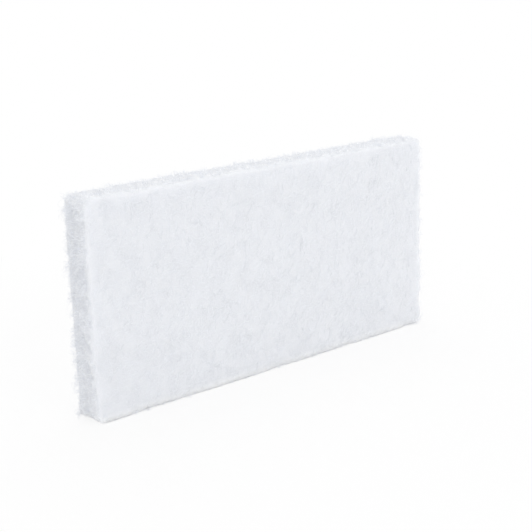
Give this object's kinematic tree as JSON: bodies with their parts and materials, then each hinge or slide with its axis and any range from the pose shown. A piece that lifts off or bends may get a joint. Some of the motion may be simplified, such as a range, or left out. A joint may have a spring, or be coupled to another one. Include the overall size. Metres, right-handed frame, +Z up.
{
  "type": "scouring pad",
  "caption": "Thick white nonwoven nylon scouring pad: a flat rounded slab with frayed cut sides, standing on one long side.",
  "frame": {"origin": "middle of the long cut side that the pad stands on", "axes": "+X along the pad's length, +Y through its thickness, +Z up across its width"},
  "size_m": [0.2511, 0.02, 0.1227],
  "materials": {
    "nylon_web": "matte"
  },
  "bodies": {
    "root": {"scouring_pad": "nylon_web"}
  },
  "joints": []
}
